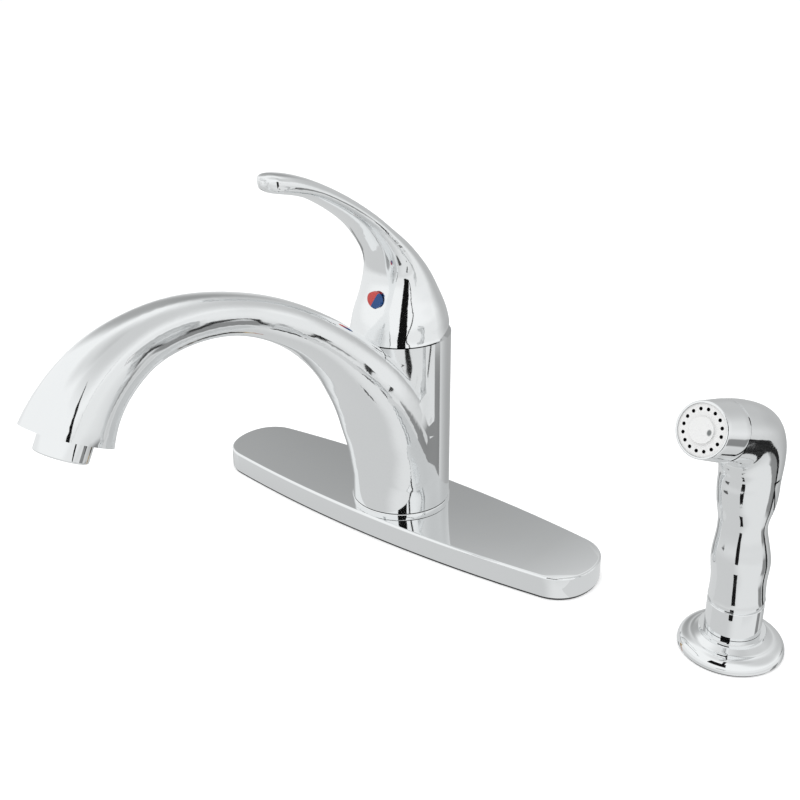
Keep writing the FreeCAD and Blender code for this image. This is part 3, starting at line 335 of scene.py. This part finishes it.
def chrome_plate(name, colour, roughness, wave):
    """Chrome: roughness and tone wander over centimetres, and the surface waves slightly."""
    made, tree, shader = finish(name, colour, 1.0, roughness)
    soft = cloud(tree, 18.0)
    swung(soft, roughness, 0.03).feed(shader, "Roughness")
    shaded(1.0 - soft, colour, 1.03).feed(shader, "Base Color")
    relief(cloud(tree, 40.0, 1.0), shader, wave)
    return made


def moulded(name, colour, roughness, grain, depth, coat=0.0):
    """Moulded rubber or plastic: a fine grain, and a tone that varies a little."""
    made, tree, shader = finish(name, colour, 0.0, roughness, coat)
    broad = cloud(tree, 60.0)
    shaded(broad, colour, 0.9).feed(shader, "Base Color")
    swung(broad, roughness, 0.12).feed(shader, "Roughness")
    relief(cloud(tree, grain, 2.0), shader, depth)
    return made


BODIES = {node: body for body, members in frame["record"]["behaviour"]["bodies"].items()
          for node in members}


def standing_for(node, mesh, paint):
    """A new piece with a mesh and a finish, which rides with a CAD node's body and replaces it."""
    mesh.materials.clear()
    mesh.materials.append(paint)
    item = bpy.data.objects.new(node + "_shell", mesh)
    bpy.context.scene.collection.objects.link(item)
    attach(item, BODIES[node])
    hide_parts(node)


def softened(mesh, crease=35):
    """Shade a mesh smoothly, but keep each edge sharp whose faces meet at over a crease angle."""
    work = bmesh.new()
    work.from_mesh(mesh)
    bmesh.ops.remove_doubles(work, verts=work.verts, dist=2e-6)
    for face in work.faces:
        face.smooth = True
    for edge in work.edges:
        closed = len(edge.link_faces) == 2
        edge.smooth = closed and edge.calc_face_angle(0.0) < math.radians(crease)
    work.to_mesh(mesh)
    work.free()
    return mesh


def surface_of(node):
    """A copy of a CAD node's own surface, to be merged and shaded."""
    mesh = frame["nodes"][node].data.copy()
    mesh.name = node + "_shell"
    return mesh


def dressed(paint, *nodes):
    """Each CAD node's own surface, merged and smoothly shaded, in a finish."""
    for node in nodes:
        standing_for(node, softened(surface_of(node)), paint)


CHROME = (0.86, 0.868, 0.872)
rolled_chrome = chrome_plate("rolled_chrome", CHROME, 0.04, 0.00002)
rubber = moulded("rubber", (0.022, 0.022, 0.024), 0.6, 900.0, 0.00005)
dressed(rolled_chrome, "deck_plate")
dressed(rubber, "deck_gasket")

# Spout: a hollow zinc casting from a round hub to a wide flat mouth, polished and plated. It turns
# on a thin ring that is left between the hub and the deck plate.
cast_chrome = chrome_plate("cast_chrome", CHROME, 0.06, 0.00004)
dressed(rolled_chrome, "base_ring")
dressed(cast_chrome, "spout")

# Aerator: a turned housing with a white moulded flow straightener and a rubber washer behind it.
white_plastic = moulded("white_plastic", (0.84, 0.84, 0.83), 0.35, 500.0, 0.00002)
dressed(rolled_chrome, "aerator_housing")
dressed(white_plastic, "aerator_insert")
dressed(rubber, "aerator_washer")


# Valve: a turned and drilled brass body with two rubber seals that the spout turns on. A brass nut
# holds the cartridge down and a pressed dome closes the top, under the handle.
def turned_metal(name, colour, roughness, pitch, axis_x=0.0):
    """Turned metal: fine rings about an upright axis and along it, and spots of darker oxide."""
    made, tree, shader = finish(name, colour, 1.0, roughness)
    x, y, z = place_on(tree).axes()
    reach = (x - axis_x).span(y)
    rings = z.math("SINE", (z + reach) * (2 * math.pi / pitch))
    spots = cloud(tree, 55.0, 5.0)
    shaded(spots, colour, 0.8).feed(shader, "Base Color")
    swung(spots, roughness, 0.16).feed(shader, "Roughness")
    relief(rings, shader, 0.000008)
    return made


BRASS = (0.72, 0.53, 0.25)
turned_brass = turned_metal("turned_brass", BRASS, 0.26, 0.0006)
dressed(turned_brass, "valve_body")
dressed(rubber, "lower_seal", "upper_seal")
dressed(turned_brass, "cartridge_nut")
dressed(rolled_chrome, "bonnet")

# Cartridge: two ground ceramic discs in a white moulded shell. The carrier turns in the shell, and
# the steel stem rocks on a pin through it and pushes the upper disc. A white spool in the valve
# sends water to the sprayer.
STEEL = (0.56, 0.56, 0.57)
ceramic = moulded("ceramic", (0.88, 0.87, 0.82), 0.16, 2500.0, 0.000004, coat=0.3)
drawn_steel = turned_metal("drawn_steel", STEEL, 0.3, 0.0004)
dressed(white_plastic, "cartridge_shell", "disc_carrier")
dressed(ceramic, "fixed_disc", "sliding_disc")
dressed(drawn_steel, "cartridge_stem", "pivot_pin")
dressed(white_plastic, "diverter")

# Lever handle: one zinc casting, scooped out under the lever, held on the stem by a socket screw.
# Its end is a thick rounded pad. A small crowned plug, red and blue, covers the screw's bore.
PAD_START = 0.066
PAD_END = 0.0975
PAD_DROP = 0.0026
PAD_SWELL = 0.14
PAD_UNDER = 0.35
lever_mesh = softened(surface_of("lever_handle"))
points, normals = np.empty((2, len(lever_mesh.vertices) * 3))
lever_mesh.vertices.foreach_get("co", points)
lever_mesh.vertices.foreach_get("normal", normals)
points, normals = points.reshape(-1, 3), normals.reshape(-1, 3)
share = np.clip((-points[:, 1] - PAD_START) / (PAD_END - PAD_START), 0, 1)
swell = share * share * (3 - 2 * share)
points[:, 0] *= 1 + PAD_SWELL * swell
points[:, 2] -= PAD_DROP * swell * np.clip(PAD_UNDER - normals[:, 2], 0, 1)
lever_mesh.vertices.foreach_set("co", points.reshape(-1))
standing_for("lever_handle", lever_mesh, cast_chrome)


def bands(rows, sides, closed):
    """Quads between each ring of a grid and the next, and back to the first where it is closed."""
    ring, column = np.meshgrid(np.arange(rows if closed else rows - 1), np.arange(sides),
                               indexing="ij")
    above, beside = (ring + 1) % rows, (column + 1) % sides
    return np.stack([ring * sides + column, ring * sides + beside, above * sides + beside,
                     above * sides + column], axis=-1).reshape(-1, 4).tolist()


def crowned_disc(name, centre, radius, thick, crown, rings=8, sides=48):
    """A disc towards -Y whose face stands crown * (1 - (reach / radius) ** 2) proud of its rim."""
    reach = np.linspace(1.0, 0.0, rings + 1)[:-1] * radius
    around = np.linspace(0, 2 * np.pi, sides, endpoint=False)
    rows = np.concatenate([[radius], reach])
    proud = np.concatenate([[-thick], crown * (1 - (reach / radius) ** 2)])
    ring = np.stack([centre[0] + rows[:, None] * np.cos(around),
                     np.repeat(centre[1] - proud[:, None], sides, axis=1),
                     centre[2] + rows[:, None] * np.sin(around)], axis=-1).reshape(-1, 3)
    tips = [(centre[0], centre[1] + thick, centre[2]), (centre[0], centre[1] - crown, centre[2])]
    back, front, inner = len(ring), len(ring) + 1, rings * sides
    faces = bands(rings + 1, sides, False)
    faces += [((i + 1) % sides, i, back) for i in range(sides)]
    faces += [(inner + i, inner + (i + 1) % sides, front) for i in range(sides)]
    mesh = bpy.data.meshes.new(name)
    mesh.from_pydata(ring.tolist() + tips, [], faces)
    return softened(mesh, 50)


INDEX_SPOT = (0.0, -0.0217, 0.138)
INDEX_RADIUS = 0.0045
INDEX_THICK = 0.002
INDEX_CROWN = 0.0002
INDEX_LEAN = math.radians(59)
RED = (0.62, 0.07, 0.06)
BLUE = (0.012, 0.075, 0.26)
index_paint, index_tree, index_shader = finish("index_paint", RED, 0.0, 0.2)
index_x, _, index_z = place_on(index_tree).axes()
index_rise = index_z - INDEX_SPOT[2]
past_split = index_x * math.sin(INDEX_LEAN) - index_rise * math.cos(INDEX_LEAN)
past_split.above(0.0, 0.00015).mix(RED, BLUE).feed(index_shader, "Base Color")
index_mesh = crowned_disc("index_button_shell", INDEX_SPOT, INDEX_RADIUS, INDEX_THICK, INDEX_CROWN)
standing_for("index_button", index_mesh, index_paint)
dressed(drawn_steel, "handle_screw")


# Shank: a threaded brass tube that is screwed up into the valve body and hangs through the deck,
# with a rubber washer, a steel one and a brass nut that draws the faucet down.
def thread_rows(radius, low, high, pitch, depth, steps_per_turn=8):
    """Radii, heights and depths of cut for a thread, with a plain rim at each end."""
    steps = int(steps_per_turn * (high - low) / pitch) + 1
    cut = np.full(steps, depth)
    cut[[0, -1]] = 0.0
    return np.stack([np.full(steps, radius), np.linspace(low, high, steps), cut], axis=1)


def turned_mesh(name, centre_x, rows, pitch=1.0, sides=64):
    """A closed profile of (radius, height, cut) rows turned about an upright axis at y = 0.

    The radius is the row's own less its cut times (1 + cos(2 pi height / pitch - angle)) / 2,
    which is a thread of that pitch where the cut is not 0.
    """
    radii, heights, cut = (np.asarray(column)[:, None] for column in np.asarray(rows).T)
    around = np.linspace(0, 2 * np.pi, sides, endpoint=False)
    wave = (1 + np.cos(2 * np.pi * heights / pitch - around)) / 2
    reach = radii - cut * wave
    points = np.stack([centre_x + reach * np.cos(around), reach * np.sin(around),
                       heights + 0 * around], axis=-1)
    mesh = bpy.data.meshes.new(name)
    mesh.from_pydata(points.reshape(-1, 3).tolist(), [], bands(len(rows), sides, True))
    return mesh


SHANK_RADIUS = 0.016
SHANK_BORE = 0.0138
SHANK_PITCH = 0.0018
SHANK_CUT = 0.0009
THREAD_TOP = -0.002
shank_low, shank_high = (corner[2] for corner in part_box("mounting_shank"))
shank_rows = [*thread_rows(SHANK_RADIUS, shank_low, THREAD_TOP, SHANK_PITCH, SHANK_CUT),
              (SHANK_RADIUS, shank_high, 0), (SHANK_BORE, shank_high, 0),
              (SHANK_BORE, shank_low, 0)]
shank_mesh = turned_mesh("mounting_shank_shell", 0.0, shank_rows, SHANK_PITCH)
standing_for("mounting_shank", softened(shank_mesh, 50), turned_brass)
dressed(rubber, "deck_seal_washer")
dressed(drawn_steel, "deck_washer")
dressed(turned_brass, "lock_nut")

# Supply: two drawn copper tubes for hot and cold, and a third one to the sprayer's hose, all
# soldered into the valve body. Drawing leaves fine streaks along them.
COPPER = (0.74, 0.38, 0.25)
copper, copper_tree, copper_shader = finish("drawn_copper", COPPER, 1.0, 0.28)
streaks = cloud(copper_tree, 900.0, 2.0, stretch=(1.0, 1.0, 0.02))
shaded(cloud(copper_tree, 45.0, 5.0), COPPER, 0.72).feed(copper_shader, "Base Color")
swung(streaks, 0.29, 0.18).feed(copper_shader, "Roughness")
relief(streaks, copper_shader, 0.00001)
dressed(copper, "hot_inlet", "cold_inlet", "spray_outlet")

# Sprayer holder: a chrome rose on a thin rubber pad, with a chrome cap rolled over the collar of
# the black plastic guide. The guide runs through the deck, and a plastic nut draws the rose down.
GUIDE_RADIUS = 0.014
GUIDE_BORE = 0.0114
GUIDE_COLLAR = 0.0158
GUIDE_PITCH = 0.002
GUIDE_CUT = 0.0008
COLLAR_THICK = 0.001
CAP_THICK = 0.00013
CAP_BEVEL = 0.0003
black_plastic = moulded("black_plastic", (0.045, 0.045, 0.048), 0.42, 1200.0, 0.00003)
dressed(rubber, "spray_pad")
guide_low, guide_high = (corner[2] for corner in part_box("spray_guide"))
guide_shoulder = guide_high - COLLAR_THICK
guide_rows = [*thread_rows(GUIDE_RADIUS, guide_low, THREAD_TOP, GUIDE_PITCH, GUIDE_CUT),
              (GUIDE_RADIUS, guide_shoulder, 0), (GUIDE_COLLAR, guide_shoulder, 0),
              (GUIDE_COLLAR, guide_high, 0), (GUIDE_BORE, guide_high, 0),
              (GUIDE_BORE, guide_low, 0)]
guide_mesh = turned_mesh("spray_guide_shell", SPRAY_X, guide_rows, GUIDE_PITCH)
standing_for("spray_guide", softened(guide_mesh, 50), black_plastic)
cap_edge = GUIDE_COLLAR + CAP_THICK
cap_top = guide_high + CAP_THICK
cap_mesh = turned_mesh("cap", SPRAY_X, [
    (GUIDE_COLLAR, guide_shoulder, 0), (cap_edge, guide_shoulder, 0),
    (cap_edge, cap_top - CAP_BEVEL, 0), (cap_edge - CAP_BEVEL, cap_top, 0),
    (GUIDE_BORE + CAP_THICK, cap_top, 0), (GUIDE_BORE + CAP_THICK, guide_high, 0),
    (GUIDE_COLLAR, guide_high, 0)])
rose = bmesh.new()
rose.from_mesh(surface_of("spray_flange"))
rose.from_mesh(cap_mesh)
rose_mesh = bpy.data.meshes.new("spray_flange_shell")
rose.to_mesh(rose_mesh)
rose.free()
standing_for("spray_flange", softened(rose_mesh), rolled_chrome)
dressed(drawn_steel, "guide_washer")
dressed(black_plastic, "guide_nut")

# Wand: a plated casting whose grip swells and thins for the fingers, on a chrome coupling that
# drops into the holder. A brass connector takes the hose.
dressed(turned_metal("connector_brass", BRASS, 0.26, 0.0006, SPRAY_X), "hose_connector")
dressed(rubber, "coupling_washer")
dressed(rolled_chrome, "wand_coupling")
dressed(cast_chrome, "wand_handle")

# Nozzle: a turned chrome band holds a white moulded face with sixteen jets round a low nub. The
# jets are painted dark inside as painted shade, and a grey patch of painted shade marks a small
# dent at the side of the nub.
HEAD_TURN = math.radians(-7.5)
HEAD_RISE = math.radians(20)
HEAD_REACH = 0.0328
HEAD_HEIGHT = 0.1275
JETS = 16
JET_CIRCLE = 0.0089
JET_EDGE = 0.00081
# Painted shade: the inside of each jet hole is painted dark.
JET_PAINTED_SHADE = (0.012, 0.012, 0.014)
FACE_WHITE = (0.76, 0.76, 0.755)
DENT_X = 0.0038
DENT_RADIUS = 0.0013
DENT_NARROW = math.sqrt(1.7)
# Painted shade: the dent beside the nub is drawn as a grey patch on the face.
DENT_PAINTED_SHADE = (0.16, 0.17, 0.17)
dressed(rolled_chrome, "nozzle_ring")
face_paint, face_tree, face_shader = finish("face_paint", FACE_WHITE, 0.0, 0.38)
face_middle = (SPRAY_X + HEAD_REACH * math.sin(HEAD_TURN), -HEAD_REACH * math.cos(HEAD_TURN),
               HEAD_HEIGHT)
face_x, face_y, _ = Field.node(face_tree, "ShaderNodeMapping", {"vector_type": "TEXTURE"}, {
    "Vector": place_on(face_tree), "Location": face_middle,
    "Rotation": (math.radians(90) - HEAD_RISE, 0.0, HEAD_TURN)}).axes()
turns = face_x.math("ARCTAN2", face_y, face_x) * (JETS / (2 * math.pi))
off_jet = (turns.math("FRACT", turns + 0.5) - 0.5) * (2 * math.pi * JET_CIRCLE / JETS)
from_jet = off_jet.span(face_x.span(face_y) - JET_CIRCLE)
from_dent = ((face_x - DENT_X) * DENT_NARROW).span(face_y)
tone = shaded(cloud(face_tree, 80.0), FACE_WHITE, 0.95)
# The dent's painted shade: grey inside its patch, the face's tone outside it.
dent_shaded = from_dent.above(DENT_RADIUS, 0.0009).mix(DENT_PAINTED_SHADE, tone)
# The jets' painted shade: dark inside each jet's edge, the face's colour outside it.
from_jet.above(JET_EDGE, 0.00008).mix(JET_PAINTED_SHADE, dent_shaded).feed(face_shader, "Base Color")
relief(cloud(face_tree, 700.0, 2.0), face_shader, 0.00002)
dressed(face_paint, "spray_face")

# Trigger: a plated thumb lever that wraps round the back of the grip and rocks on a steel pin. It
# pushes a brass plunger, which slides in a brass gland against a coiled spring.
dressed(cast_chrome, "trigger")
dressed(drawn_steel, "trigger_pin", "plunger_spring")
dressed(turned_brass, "plunger_gland", "spray_plunger")
